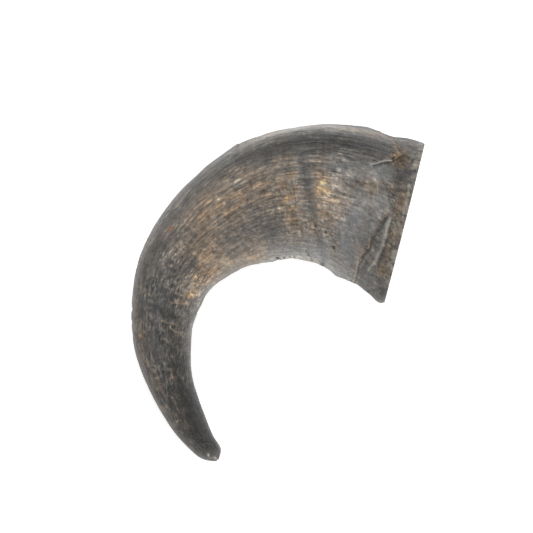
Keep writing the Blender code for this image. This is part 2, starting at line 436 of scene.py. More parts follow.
# Ridges that stand up: height, width and corners.
RIDGES = (
    (0.45, 1.3, ((278, 90), (277.7, 100), (277.3, 108), (276, 116), (274.5, 127), (271, 137))),
    (0.35, 0.6, ((262, 8), (267, 19.5), (272, 29), (275.5, 33), (279, 37))),
    (0.4, 0.7, ((261, 57), (265.6, 51.5), (268, 49), (272, 47.5))),
    (0.25, 0.4, ((266, 69), (267.3, 77.5))),
)


def valley():
    """The hollow that crosses the horn along the third cone's margin, with a ridge on either side of
    it. The colour paints shade into the hollow."""
    line = by_angle(CONES[2].margin, ANGLE)
    beyond = DISTANCE - line - 1.0
    reach = by_angle(
        ((0, 0.1), (45, 0.2), (65, 1.0), (130, 0.8), (165, 0.3), (230, 0.5), (300, 0.7)), ANGLE
    )
    hollow = -0.55 * np.exp(-((beyond / 3.2) ** 2))
    ridges = 0.36 * np.exp(-(((beyond + 6.5) / 3.2) ** 2))
    ridges += 0.30 * np.exp(-(((beyond - 7.0) / 3.4) ** 2))
    return reach * (hollow + ridges)


def growth_rings():
    """Fine rings round the horn, stronger towards its base, wandering a little."""
    random = np.random.default_rng(71)
    place = DISTANCE + 1.6 * cloud(28.0, 72)
    total = 0.0
    for spacing, height in ((7.5, 0.16), (3.1, 0.07), (1.3, 0.035)):
        steps = random.uniform(-1.0, 1.0, int(LENGTH / spacing) + 12)
        row = np.clip(place / spacing, 0.0, len(steps) - 2.001) + 0.5
        total = total + height * wavy(steps, row)
    return total * (0.25 + 0.75 * smooth_step((DISTANCE - 40.0) / 160.0))


def rings_tone():
    """Narrow dark and light rings round the horn, from -1 to 1."""
    random = np.random.default_rng(73)
    place = DISTANCE + 1.2 * cloud(16.0, 74) + 0.35 * cloud(4.0, 75)
    steps = random.uniform(-1.0, 1.0, int(LENGTH / 0.9) + 12)
    wave = wavy(steps, np.clip(place / 0.9, 0.0, len(steps) - 2.001))
    return wave * (0.5 + 0.5 * cloud(8.0, 76))


def band_weight():
    """Where the long striations under the crown run."""
    across = np.exp(-((angle_apart(ANGLE, 42.0) / 13.0) ** 2))
    return across * smooth_step((DISTANCE - 188.0) / 30.0) * smooth_step((286.0 - DISTANCE) / 12.0)


def skin_relief(marks):
    """The height of the skin over the cone's plain form."""
    tip_fade = smooth_step(DISTANCE / 25.0)
    height = spots(SWELLS)
    height += 0.45 * clouds(26.0, 11, 2) * tip_fade
    height += 0.40 * np.exp(-((DISTANCE / 7.0) ** 2)) - 0.30 * spot(4.5, 172.0, 2.5, 4.0)
    height += 0.16 * clouds(7.0, 21, 3) * (0.3 + 0.7 * tip_fade)
    height += 0.035 * cloud(1.4, 31)
    height += growth_rings()
    height += 0.05 * fibres(2.2, 26.0, 41) * (0.6 + 0.6 * tip_fade)
    height += 0.05 * fibres(0.9, 16.0, 42) * smooth_step((DISTANCE - 30.0) / 60.0)
    height += 0.20 * band_weight() * fibres(1.5, 38.0, 43)
    height += 0.10 * band_weight() * fibres(0.7, 22.0, 44)
    height += valley()
    height -= marks["crack"]
    height += line_map(RIDGES, 84)
    height += 0.45 * crumb_weight() * cloud(1.5, 56)
    height -= 0.05 * marks["scratch"]
    height += 0.30 * marks["flake"]
    near_cut = smooth_step((DISTANCE - 268.0) / 14.0)
    height += near_cut * 0.22 * clouds(3.2, 51, 3, stretch=0.45)
    height += 0.8 * spot(275.5, 43.0, 4.5, 5.5) * clouds(2.0, 54, 2)
    chips = smooth_step((cloud(3.4, 57) - 0.15) / 0.5)
    height -= 0.7 * chips * np.exp(-(((LENGTH - DISTANCE) / 0.9) ** 2))
    return height


# ---------------------------------------------------------------- colour

# The skin's plain tone, as sRGB grey from 0 to 255, by distance and then by angle. It holds painted
# light too: the columns near 20 and from 165 to 185 are lighter where light washes along the outer
# top and the inner edge.
TONE_ANGLES = (0, 20, 40, 65, 90, 115, 140, 165, 185, 225, 270, 315)
TONES_WITH_EDGE_LIGHT = (
    (0, (50, 62, 56, 34, 26, 22, 44, 134, 122, 64, 62, 60)),
    (25, (70, 78, 70, 59, 51, 36, 32, 64, 80, 68, 64, 70)),
    (60, (55, 84, 76, 74, 72, 40, 36, 84, 92, 78, 70, 66)),
    (95, (80, 90, 70, 75, 71, 65, 82, 108, 104, 92, 82, 82)),
    (120, (100, 90, 66, 92, 84, 96, 120, 124, 106, 98, 88, 86)),
    (145, (98, 96, 86, 108, 82, 108, 118, 120, 106, 100, 98, 88)),
    (172, (98, 86, 82, 102, 106, 90, 98, 132, 118, 96, 102, 92)),
    (204, (88, 140, 66, 108, 110, 94, 108, 152, 126, 100, 100, 92)),
    (240, (80, 144, 60, 126, 146, 126, 128, 154, 120, 98, 100, 96)),
    (268, (40, 122, 86, 130, 124, 92, 94, 100, 90, 94, 96, 86)),
    (289, (42, 104, 105, 118, 118, 94, 104, 96, 84, 84, 90, 76)),
)
# Brown clouds: distance, angle, length, width, strength.
BROWN = (
    (146, 122, 16, 16, 0.85), (128, 132, 12, 9, 0.5), (112, 122, 12, 8, 0.55),
    (163, 74, 12, 13, 0.8), (178, 82, 10, 16, 0.7), (150, 92, 8, 8, 0.25), (176, 150, 16, 10, 0.85),
    (197, 76, 9, 15, 0.6), (213, 80, 6, 22, 0.85), (216, 112, 8, 14, 0.55), (232, 78, 6, 16, 0.65),
    (245, 90, 12, 10, 0.45), (236, 108, 8, 10, 0.5), (264, 72, 9, 7, 0.5), (263, 122, 4, 16, 0.4),
    (283, 76, 4, 12, 0.6), (285, 104, 4, 14, 0.4), (281, 126, 4, 10, 0.9),
    (275.5, 43, 4.5, 5.5, 1.4), (264, 14, 4, 5, 0.4), (250, 21, 14, 4, 0.6),
    (275.2, 71, 1.6, 2.4, 1.2), (60, 112, 16, 6, 0.4), (88, 108, 10, 8, 0.3), (62, 36, 46, 9, 0.65),
    (46, 118, 22, 5, 0.45), (95, 34, 22, 9, 0.35), (128, 44, 16, 9, 0.4), (205, 18, 10, 6, 0.2),
    (150, 232, 22, 18, 0.8), (196, 262, 18, 20, 0.75), (120, 300, 18, 12, 0.45),
    (228, 300, 12, 22, 0.6), (252, 236, 12, 16, 0.5), (276, 286, 7, 22, 0.6), (70, 250, 20, 8, 0.4),
)
# Dark stains in the same way.
STAINS = (
    (232, 40, 30, 8, 0.6), (262, 44, 14, 9, 0.5), (135, 40, 9, 5, 0.55), (146, 66, 6, 3, 0.35),
    (226, 86, 3, 12, 0.5), (100, 90, 6, 10, 0.4), (192, 100, 10, 7, 0.45), (205, 118, 12, 6, 0.4),
    (172, 104, 7, 5, 0.35), (276, 24, 8, 8, 0.45), (247, 10, 11, 6, 0.75), (264, 9, 8, 6, 0.4),
    (196, 10, 9, 5, 0.4), (6, 84, 10, 5, 0.5), (262, 51, 3.5, 3, 0.6), (278.5, 59, 2.6, 8, 1.25),
    (283.5, 55, 3, 5, 0.9), (284, 153, 4.5, 10, 1.6), (276, 160, 9, 5, 0.6),
    (279.5, 130, 2.2, 5, 0.75), (186, 128, 3.2, 3.2, 0.35), (241, 124, 4, 8, 0.5),
    (246, 140, 4, 9, 0.5), (222, 106, 5, 8, 0.4), (97, 134, 4, 8, 0.35), (30, 100, 26, 8, 0.45),
    (210, 232, 14, 10, 0.45), (262, 300, 10, 14, 0.45), (150, 290, 12, 10, 0.4),
)
# Smooth blue-grey patches in the same way.
GREYS = (
    (100, 72, 22, 9, 0.6), (78, 84, 20, 6, 0.5), (200, 148, 24, 7, 0.6), (232, 140, 10, 9, 0.55),
    (258, 100, 12, 17, 0.85), (252, 130, 14, 10, 0.75), (248, 64, 16, 5, 0.55),
    (268, 60, 5.4, 8, 0.9), (264, 36, 7, 4, 0.35), (240, 10, 38, 10, 0.45), (270, 84, 4, 9, 0.5),
    (284, 12, 6, 14, 0.55), (235, 215, 20, 12, 0.55), (180, 310, 26, 14, 0.5),
    (90, 215, 24, 8, 0.5),
)
# Lines listed by the name of their colour: strength, width and corners.
LINES = {
    "pale": (
        (0.8, 0.3, ((106, 98), (107.5, 112), (108, 124), (109, 135))),
        (0.7, 0.3, ((94, 89), (93, 100), (93.5, 111), (92, 121))),
        (0.65, 0.28, ((90, 105), (88, 118), (88.5, 131), (87, 143))),
        (0.35, 0.22, ((67, 55), (66.5, 62), (66, 70))),
        (0.9, 0.42, ((268.2, 111), (268, 114), (268.3, 118))),
        (0.75, 0.38, ((262.8, 133), (262.6, 140), (262.4, 148))),
        (1.0, 0.38, ((266, 69), (267.3, 77.5))),
        (0.4, 0.22, ((117, 75), (121, 82), (124, 90), (127, 100))),
        (0.5, 0.3, ((2.6, 56), (3.2, 66), (4.4, 76))),
        (0.55, 0.35, ((284, 196), (281, 205), (282, 222), (279, 238))),
        (0.6, 0.4, ((268, 250), (270, 262), (267, 275), (269, 290))),
    ),
    "tan": (
        (1.0, 0.42, ((262, 8), (267, 19.5), (271.8, 29), (275.5, 33), (279, 37))),
        (0.75, 0.34, ((278, 86), (274, 93), (271, 100), (269, 106), (268.2, 112))),
        (1.0, 0.45, ((268.2, 111.5), (268, 114), (268.3, 118))),
        (0.85, 0.34, ((268.3, 118), (264.2, 126), (262.6, 131))),
        (1.0, 0.38, ((262.6, 131), (262.8, 140), (262.4, 148))),
        (0.7, 0.32, ((262.4, 148), (262, 158), (262, 170))),
        (0.6, 0.5, ((271.6, 135), (270.4, 140))), (0.7, 0.35, ((269, 66), (271, 71))),
        (0.55, 0.3, ((264, 45), (264.5, 49))),
        (0.5, 0.35, ((281, 100), (280.2, 119), (278.5, 132))),
        (0.5, 0.3, ((285, 126), (286.5, 132), (287.5, 138))), (0.55, 0.3, ((263, 81), (262, 87))),
    ),
    "grey": (
        (0.95, 1.15, ((278, 90.5), (277.7, 100), (277.3, 108), (276, 116), (274.5, 127))),
        (0.8, 0.9, ((274.5, 127), (272.5, 132), (271, 137))),
        (0.6, 0.32, ((271.6, 118), (271.2, 127))),
        (0.95, 0.45, ((261, 57), (265.6, 51.5), (268, 49.2), (272, 47.5))),
        (0.9, 0.55, ((284.8, 62), (285.3, 69), (285.6, 77), (285.8, 88))),
    ),
}
# Places a little lighter all over: distance, angle, length, width, strength.
LIGHTER = (
    (266, 62, 5, 7, 0.6), (262, 55, 3, 5, 0.4), (262, 96, 9, 9, 0.1), (160, 57, 8, 6, 0.25),
    (222, 14, 34, 8, 0.22), (114, 118, 12, 6, 0.18), (262, 52, 3, 6, 0.3), (92, 150, 22, 6, 0.2),
)
# Small pale flecks: distance, angle, length, width, strength. The two near 204 to 214 mm and 80
# degrees are painted glints of light.
FLECKS = (
    (117, 117, 1.6, 2.2, 0.55), (121, 124, 1.8, 2.0, 0.45), (113, 112, 0.8, 3.0, 0.45),
    (72, 64, 2.4, 0.5, 0.45), (136, 66, 1.4, 0.5, 0.4), (59, 62, 0.7, 1.8, 0.45),
    (211, 121, 1.0, 0.6, 0.9), (223, 122, 0.8, 1.0, 0.9), (222, 118, 0.6, 0.5, 0.7),
    (234, 111, 0.8, 0.7, 0.9), (204, 84, 0.7, 0.6, 0.8), (285.5, 45, 1.1, 1.7, 1.0),
    (285.2, 63, 1.0, 1.0, 0.8), (285.6, 69, 1.2, 0.8, 0.9), (285.3, 76, 0.8, 0.9, 0.8),
    (285.9, 83, 1.0, 0.7, 0.7), (221.6, 121, 0.5, 0.9, 0.9), (224.2, 116, 0.5, 0.8, 0.8),
    (230.2, 121, 0.5, 0.7, 0.7), (217.5, 108, 0.6, 0.8, 0.7), (246.0, 127, 0.5, 0.8, 0.7),
    (214, 79, 0.6, 1.6, 0.7), (3.8, 72, 0.45, 0.55, 1.4), (0.2, 84, 0.7, 0.8, 0.45),
    (1.6, 64, 0.3, 0.9, 0.3), (257, 70, 0.8, 0.5, 0.5), (252, 63, 0.9, 0.4, 0.5),
    (240, 126, 0.7, 0.5, 0.5),
)
# Small orange specks in the same way.
SPECKS = (
    (144, 49, 1.0, 1.4, 0.9), (197.5, 177, 1.0, 1.6, 1.0), (229, 92, 0.8, 0.8, 0.5),
    (236, 104, 0.8, 0.7, 0.5),
)
# Crumbling brown and golden places in the same way.
CRUMBS = (
    (275.5, 43, 4.2, 5.6, 1.3), (264.0, 48, 2.6, 1.8, 0.7), (258.0, 24, 8.0, 3.5, 0.35),
    (262.0, 13, 4.0, 3.0, 0.45), (275.0, 71, 2.4, 2.4, 0.8), (269.0, 70, 3.5, 3.0, 0.45),
    (258.0, 77, 9.0, 3.5, 0.5), (282.5, 80, 2.6, 12, 0.55), (281.5, 106, 1.8, 10, 0.6),
    (280.5, 130, 3.0, 6.0, 0.65), (286.0, 130, 1.8, 5.0, 0.55), (224.0, 92, 5.0, 3.0, 0.6),
    (236.0, 106, 6.0, 4.0, 0.55), (226.0, 122, 5.0, 5.0, 0.45), (239.0, 119, 4.0, 6.0, 0.65),
    (243.5, 131, 4.0, 7.0, 0.65), (246.0, 146, 4.0, 7.0, 0.5), (222.0, 117, 5.0, 5.0, 0.55),
)
# Flaking scales that stand up a little: distance, angle, length, width, height.
FLAKES = (
    (275.5, 43, 3.8, 5.0, 1.3), (267.5, 60.5, 5.6, 7.5, 0.9), (285.5, 46, 1.8, 2.6, 1.6),
    (281, 24, 4.0, 5.0, 0.5), (278, 205, 4.0, 8.0, 0.8), (272, 262, 4.0, 8.0, 0.8),
    (280, 320, 4.0, 9.0, 0.8),
)

# Random scratches: seed, count, area, heading, length, width, strength.
SCRATCHES = {
    "fine": (91, 1500, (118, 240, 45, 160), (90, 16), (2, 9), (0.16, 0.30), (0.3, 0.9)),
    "cross": (92, 900, (140, 235, 40, 150), (55, 22), (2, 8), (0.16, 0.28), (0.3, 0.9)),
    "back": (93, 800, (140, 235, 40, 150), (120, 20), (2, 8), (0.16, 0.28), (0.3, 0.9)),
    "along": (94, 1100, (130, 262, 40, 150), (0, 5), (4, 22), (0.16, 0.26), (0.3, 0.9)),
    "low": (95, 1500, (4, 175, 0, 180), (3, 11), (1.0, 6), (0.26, 0.40), (0.3, 1.0)),
    "tick": (98, 700, (4, 200, 0, 180), (80, 20), (0.5, 1.8), (0.26, 0.40), (0.4, 1.0)),
    "dark": (99, 3400, (2, 284, 0, 360), (3, 10), (1.5, 9), (0.26, 0.42), (0.5, 1.0)),
    "gash": (100, 1100, (4, 284, 0, 360), (85, 20), (0.8, 4), (0.26, 0.40), (0.5, 1.0)),
    "under": (96, 2600, (20, 284, 180, 360), (60, 55), (2, 10), (0.16, 0.3), (0.2, 0.8)),
    "rim": (97, 900, (258, 289, 0, 360), (90, 14), (2, 9), (0.18, 0.34), (0.3, 0.9)),
}
# The scratches that share a colour, and those that show in the relief.
SCRATCH_GROUPS = {
    "cross": ("fine", "cross", "back"),
    "along": ("along",),
    "low": ("low", "tick"),
    "dark": ("dark", "gash"),
    "under": ("under",),
    "rim": ("rim",),
    "scratch": ("fine", "cross", "back", "along", "low", "under", "rim", "dark"),
}

# How brown the fourth cone's torn edge is, by angle.
TORN_EDGE = ((0, 0.6), (20, 1.0), (40, 0.9), (48, 0.2), (60, 0.1), (180, 0.1), (220, 0.7), (300, 0.5))

BROWN_TINT = np.array([1.54, 1.01, 0.57])
GREY_TINT = np.array([0.93, 0.99, 1.06])
PLAIN_TINT = np.array([1.045, 1.0, 0.92])
PALE_COLOUR = np.array([0.53, 0.40, 0.275])
WHITE_COLOUR = np.array([0.62, 0.56, 0.46])
ORANGE_COLOUR = np.array([0.36, 0.13, 0.055])
DULL_COLOUR = np.array([0.33, 0.31, 0.26])
TORN_COLOUR = np.array([0.26, 0.165, 0.095])
CRUMB_DARK = np.array([0.050, 0.036, 0.026])
CRUMB_GOLD = np.array([0.42, 0.29, 0.15])
CRUMB_RED = np.array([0.30, 0.145, 0.080])
FLAP = (267.5, 60.5, 5.6, 7.5)  # the grey scale near the bell: distance, angle, length, width
FLAP_COLOUR = np.array([0.215, 0.222, 0.215])
LINE_COLOURS = {
    "pale": PALE_COLOUR,
    "tan": np.array([0.46, 0.28, 0.155]),
    "grey": np.array([0.40, 0.375, 0.32]),
}
RAW_COLOUR = np.array([0.16, 0.115, 0.070])  # a cone's hidden inside
VALLEY_SHADE_COLOUR = np.array([0.072, 0.074, 0.076])
FINE_TINT = np.array([1.07, 1.0, 0.90])  # how much the finest marks shift each colour
# Dark stains, and also the painted shade in crevices, cracks and pits.
STAIN_AND_SHADE_COLOUR = np.array([0.018, 0.017, 0.017])
MARGIN_SHADES = (0.5, 0.6, 0.5, 0.75)  # how dark the painted shade is in the cleft just past each margin
LIGHT_SHARE = 1.25  # turns the tone seen in even light into the skin's own reflectance
GLOSS_LOSS = 0.016  # the part of a tone that is reflection and not colour


def marks_on_skin():
    """The maps of cracks, scratches and flakes that both the relief and the colour use."""
    drawn = {name: scratches(*values) for name, values in SCRATCHES.items()}
    marks = {"crack": np.maximum(line_map(CRACKS, 81), spots(PITS))}
    for name, kinds in SCRATCH_GROUPS.items():
        marks[name] = np.maximum.reduce([drawn[kind] for kind in kinds])
    flake = np.zeros((ROWS, COLUMNS))
    edge = 0.28 * clouds(3.0, 61, 3)
    for distance, angle, length, width, height in FLAKES:
        body = spot(distance, angle, length, width, power=4.0) + edge
        flake = np.maximum(flake, height * smooth_step((body - 0.42) / 0.14))
    marks["flake"] = flake
    return marks


def tone_with_edge_light():
    """The reflectance of the skin before any marks, from the table of tones, with its painted light
    at the outer top and the inner edge.
    """
    known = np.array([by_angle(tuple(zip(TONE_ANGLES, tones)), ANGLE[0]) for _, tones in TONES_WITH_EDGE_LIGHT])
    distances = [distance for distance, _ in TONES_WITH_EDGE_LIGHT]
    columns = [np.interp(DISTANCE[:, 0], distances, column) for column in known.T]
    grey = np.stack(columns, axis=1)
    linear = ((grey / 255.0 + 0.055) / 1.055) ** 2.4
    return np.maximum(linear - GLOSS_LOSS, 0.008) * LIGHT_SHARE


def blend(colour, other, amount):
    amount = np.clip(amount, 0.0, 1.0)[..., None]
    return colour * (1.0 - amount) + other * amount


def fine_marks(grey, worn, base_ward, sideways):
    """The finest dark and light marks: lumps, threads and narrow rings."""
    lump = 0.64 * cloud(0.7, 121, 1.5) + 0.52 * cloud(1.3, 122, 1.4) + 0.42 * cloud(2.6, 123, 1.1)
    thread = 0.50 * fibres(0.8, 6.0, 131) + 0.34 * fibres(1.3, 14.0, 132)
    thread += 0.22 * fibres(2.2, 34.0, 134)
    thread = thread * (1.0 - 0.75 * smooth_step((DISTANCE - 240.0) / 26.0))
    fine = lump * (1.65 - 0.60 * base_ward) + thread * (1.05 + 0.20 * base_ward)
    fine += rings_tone() * (0.34 + 0.5 * spot(214.0, 84.0, 10.0, 30.0))
    fine = fine * (0.70 + 0.50 * worn) * (1.0 - 0.5 * grey) * (1.0 - 0.55 * sideways)
    crown = np.exp(-((angle_apart(ANGLE, 92.0) / 46.0) ** 4))
    return fine * (1.0 + 0.38 * crown * smooth_step((146.0 - DISTANCE) / 24.0))


def low_scratches(marks, worn, sideways):
    """The scratches of the horn's tipward half."""
    low = marks["low"] * 0.75 * (0.45 + 0.55 * worn) * (1.0 - 0.5 * sideways)
    low = low * (1.0 - 0.65 * spot(18.0, 100.0, 50.0, 9.0))
    return low * (1.0 + 0.25 * spot(30.0, 55.0, 40.0, 6.0))


def pale_marks(marks, worn, grey, stain, low, base_ward):
    """Where the skin is scratched or speckled pale."""
    busy = np.clip(0.35 + spots(BROWN), 0.0, 1.0) * (1.0 - 0.75 * grey) * (1.0 - 0.5 * stain)
    busy = busy * (1.0 - 0.8 * band_weight())
    pale = marks["cross"] * (0.30 + 0.70 * worn) * busy * 0.85
    pale += marks["along"] * (0.35 + 0.65 * worn) * busy * 0.80
    pale += 0.7 * low * base_ward
    pale += marks["under"] * worn * 0.60
    pale += marks["rim"] * (0.25 + 0.75 * worn) * 0.65
    speckle = smooth_step((cloud(1.0, 171, stretch=1.6) - 0.40) / 0.4)
    return pale + 0.42 * speckle * smooth_step((DISTANCE - 60.0) / 60.0) * (1.0 - 0.6 * grey) * worn


def edge_marks(colour, mottled, marks):
    """The colour with the torn edge, and painted shade in the crevices at the margins, in the cracks
    and in the valley.
    """
    torn = by_angle(TORN_EDGE, ANGLE)
    edge = np.exp(-(((MARGINS[3][None, :] - DISTANCE - 0.5) / 1.0) ** 2)) * torn
    colour = blend(colour, TORN_COLOUR, 0.8 * edge * (0.7 + 0.5 * mottled))
    # Painted shade: a dark line just past each margin, where the next cone comes out from under it,
    # stronger on the sides and underneath than on top.
    under = 0.25 + 0.75 * smooth_step((np.abs(angle_apart(ANGLE, 90.0)) - 75.0) / 25.0)
    for number, strength in enumerate(MARGIN_SHADES):
        crevice_shade = under * np.exp(-(((DISTANCE - MARGINS[number][None, :] - 0.35) / 0.55) ** 2))
        broken = smooth_step((cloud(7.0, 181 + number) + 0.35) / 0.7)
        colour = blend(colour, STAIN_AND_SHADE_COLOUR, strength * crevice_shade * broken)
    # Painted shade in the cracks and pits, which are also sunk into the relief.
    colour = blend(colour, STAIN_AND_SHADE_COLOUR * 1.4, 0.85 * np.clip(marks["crack"] * 1.2, 0, 1))
    # Painted shade in the valley's hollow.
    return blend(colour, VALLEY_SHADE_COLOUR, np.clip(-1.6 * valley(), 0.0, 1.0) * 0.62)


def detail_marks(colour, fine, worn, stain):
    """The colour with the chalky rim, the grey scale, the crumbs, painted shade in the pits, and the
    placed lines.
    """
    near_cut = smooth_step((DISTANCE - 281.0) / 5.0)
    chalky = smooth_step((clouds(2.4, 191, 3) + 0.04) / 0.25) * near_cut * (1.0 - stain)
    colour = blend(colour, WHITE_COLOUR * 0.7, 0.62 * chalky)
    flap = smooth_step((spot(*FLAP, power=4.0) + 0.30 * clouds(3.0, 62, 3) - 0.42) / 0.2)
    colour = blend(colour, FLAP_COLOUR * np.exp(0.45 * fine[..., None]), 0.62 * flap)
    colour = blend(colour, crumb_colour(), crumb_weight())
    # Painted shade: the pits made nearly black.
    colour = blend(colour, STAIN_AND_SHADE_COLOUR * 0.5, 0.95 * spots(PITS))
    broken = smooth_step((cloud(1.3, 193) + 0.5 * cloud(4.0, 194) + 0.62) / 0.8)
    for number, (name, lines) in enumerate(LINES.items()):
        drawn = line_map(lines, 82 + number, 0.7)
        drawn = drawn * (broken if name == "tan" else 0.8 + 0.2 * broken)
        colour = blend(colour, LINE_COLOURS[name], drawn * (0.65 + 0.6 * worn))
    # Pale flecks, two of them painted glints of light.
    colour = blend(colour, WHITE_COLOUR, 0.7 * spots(FLECKS))
    return blend(colour, ORANGE_COLOUR, spots(SPECKS))


def skin_colour(marks, relief):
    """The colour of the skin and how worn it is, on the map."""
    patchy = clouds(14.0, 101, 4)
    mottled = clouds(4.0, 111, 3)
    grey = np.clip(spots(GREYS) * (0.9 + 0.5 * mottled), 0.0, 1.0)
    worn = smooth_step((cloud(9.0, 161) + 0.55 * cloud(3.0, 162) + 0.25) / 0.9)
    base_ward = smooth_step((DISTANCE - 110.0) / 50.0)
    sideways = np.abs(np.cos(np.radians(ANGLE))) ** 4
    fine = fine_marks(grey, worn, base_ward, sideways)
    uneven = 0.20 + 0.20 * spot(158.0, 138.0, 52.0, 24.0, power=4.0)
    uneven += 0.12 * spot(20.0, 70.0, 40.0, 9.0)
    # The tone carries the painted light at the outer top and the inner edge.
    tone = tone_with_edge_light() * np.exp(0.20 * patchy + uneven * mottled)
    tone = tone * np.exp(0.55 * band_weight() * fibres(0.8, 30.0, 133))
    colour = tone[..., None] * PLAIN_TINT * np.exp(fine[..., None] * FINE_TINT)

    brown = spots(BROWN) * (0.62 + 0.75 * clouds(6.0, 141, 4) + 0.50 * fibres(1.3, 5.0, 142))
    brown = np.clip(brown * (1.0 + 0.35 * fine), 0.0, 1.2)
    colour = colour * (1.0 + brown[..., None] * (BROWN_TINT - 1.0))
    flat = tone_with_edge_light() * np.exp(0.5 * fine)
    colour = blend(colour, flat[..., None] * GREY_TINT, 0.70 * grey)

    stain = np.clip(spots(STAINS) * (0.95 + 0.8 * clouds(5.0, 151, 3)), 0.0, 1.45)
    colour = blend(colour, STAIN_AND_SHADE_COLOUR, 0.60 * stain)
    colour = colour * (1.0 + spots(LIGHTER))[..., None]
    colour = colour * (1.0 - 0.66 * marks["dark"] * (1.0 - 0.6 * grey))[..., None]
    pits = smooth_step((cloud(1.7, 153, 1.3) + 0.4 * cloud(6.0, 154) - 0.30) / 0.45)
    colour = colour * (1.0 - 0.42 * pits * (1.0 - 0.7 * grey) * (1.0 - sideways))[..., None]
    dark_threads = smooth_step((fibres(0.9, 9.0, 152) - 0.30) / 0.45)
    thread_area = smooth_step((DISTANCE - 20.0) / 60.0) * (1.0 - 0.7 * grey)
    colour = colour * (1.0 - 0.42 * dark_threads * thread_area)[..., None]

    low = low_scratches(marks, worn, sideways)
    colour = blend(colour, DULL_COLOUR, low * (1.0 - 0.7 * base_ward))
    pale = pale_marks(marks, worn, grey, stain, low, base_ward)
    colour = blend(colour, PALE_COLOUR, pale * (1.0 - 0.7 * band_weight()))
    colour = edge_marks(colour, mottled, marks)
    colour = detail_marks(colour, fine, worn, stain)
    # Painted highlight: raised places made lighter than the land around them.
    ridge = np.clip(relief - cloud_mean(relief), 0.0, 0.2)
    colour = colour * (1.0 + 1.2 * ridge)[..., None]
    wear = np.clip(0.45 + 0.35 * patchy + 0.5 * pale - 0.5 * grey + 0.3 * brown, 0.0, 1.0)
    return np.clip(colour, 0.004, 0.8), wear


def crumb_weight():
    rough = 0.55 + 0.9 * clouds(2.6, 195, 3) + 0.45 * cloud(0.9, 197)
    return np.clip(spots(CRUMBS) * rough, 0.0, 0.9)


def crumb_colour():
    """Dark brown crumbs with golden and reddish ones among them."""
    golden = smooth_step((0.7 * cloud(0.9, 198) + 0.5 * cloud(1.9, 199) + 0.12) / 0.5)
    red = smooth_step((cloud(2.2, 201) - 0.1) / 0.4)[..., None]
    bright = CRUMB_GOLD * (1.0 - red) + CRUMB_RED * red
    return CRUMB_DARK + (bright - CRUMB_DARK) * golden[..., None]


def cloud_mean(field):
    """The map blurred over a few millimetres."""
    blurred = field
    for axis, reach in ((0, 6), (1, 6)):
        total = sum(np.roll(blurred, shift, axis=axis) for shift in range(-reach, reach + 1))
        blurred = total / (2 * reach + 1)
    return blurred


def read_map(field, distance, angle):
    """The map's value at places between its points."""
    row = np.clip(distance / ROW_STEP, 0.0, ROWS - 1.001)
    column = (angle / COLUMN_STEP) % COLUMNS
    top = np.floor(row).astype(int)
    left = np.floor(column).astype(int)
    down = row - top
    side = column - left
    left = left % COLUMNS
    right = (left + 1) % COLUMNS
    if field.ndim == 3:
        down = down[..., None]
        side = side[..., None]
    upper = field[top, left] * (1.0 - side) + field[top, right] * side
    lower = field[top + 1, left] * (1.0 - side) + field[top + 1, right] * side
    return upper * (1.0 - down) + lower * down


# ---------------------------------------------------------------- meshes of the cones


def margin_at(number, angles):
    if CONES[number].margin is None:
        return np.full(len(angles), LENGTH)
    return np.interp(angles, ANGLE[0], MARGINS[number], period=360.0)


def thickness_of(number, distance, angles):
    """The cone's thickness up to its margin, and beyond it the dip that it leaves behind."""
    cone = CONES[number]
    full = by_distance(CONE_THICKNESS, distance)
    if cone.margin is None:
        return full
    margin = margin_at(number, angles)
    lip = by_angle(cone.lip, angles)
    covered = lip + (full - lip) * smooth_step((margin - distance) / LIP_LENGTH)
    dip = lip * np.exp(-np.maximum(distance - margin, 0.0) / cone.dip)
    return np.where(distance <= margin, covered, dip)


def depth_inside(number, distance, angles):
    return sum(thickness_of(each, distance, angles) for each in range(number + 1))


def depth_outside(number, distance, angles):
    if number == 0:
        near = np.clip((TIP_ROUND_FROM - distance) / (TIP_ROUND_FROM - TIP_END), 0.0, 1.0)
        return TIP_ROUND * (1.0 - np.sqrt(1.0 - near**2))
    beyond = np.maximum(distance - margin_at(number - 1, angles), 0.0)
    gap = GAP * np.exp(-beyond / CONES[number - 1].dip)
    return depth_inside(number - 1, distance, angles) + gap


def bore_radius(distance):
    flare = np.clip(1.0 - distance / MOUTH_DEPTH, 0.0, 1.0)
    return BORE_RADIUS + (MOUTH_RADIUS - BORE_RADIUS) * flare**2


def keel(distance, angles):
    rise = KEEL_RISE * np.exp(-((angle_apart(angles, KEEL_ANGLE) / KEEL_SPREAD) ** 2))
    rise += GROOVE_RISE * np.exp(-((angle_apart(angles, GROOVE_ANGLE) / GROOVE_SPREAD) ** 2))
    return rise * smooth_step((distance - KEEL_FROM) / (KEEL_FULL - KEEL_FROM))


def ring_points(distance, angles, depth, opened, relief):
    """A ring at a depth below the skin. opened is 0 where it has closed down to the bore."""
    outer, inner = OUTER_EDGE(distance), INNER_EDGE(distance)
    middle = (outer + inner) / 2.0
    half_width = np.linalg.norm(outer - inner, axis=1) / 2.0
    half_height = half_width * by_distance(HEIGHT_SHARE, distance)
    outward = (outer - inner) / (2.0 * half_width[:, None])
    bore = bore_radius(distance)
    swell = keel(distance, angles) * half_width + relief * np.exp(-depth / RELIEF_DEPTH)
    wide = bore + (half_width - depth + swell - bore) * opened
    tall = bore + (half_height - depth + swell - bore) * opened
    lift = TIP_LIFT * smooth_step(1.0 - distance / TIP_LIFT_LENGTH)
    turn = np.radians(angles)
    flat = middle + outward * (wide * np.cos(turn))[:, None]
    return np.column_stack([flat, half_height + lift + tall * np.sin(turn)])


def opening_of(distance, start):
    along = np.clip((distance - start) / NOSE_LENGTH, 0.0, 1.0)
    return np.sqrt(along * (2.0 - along))


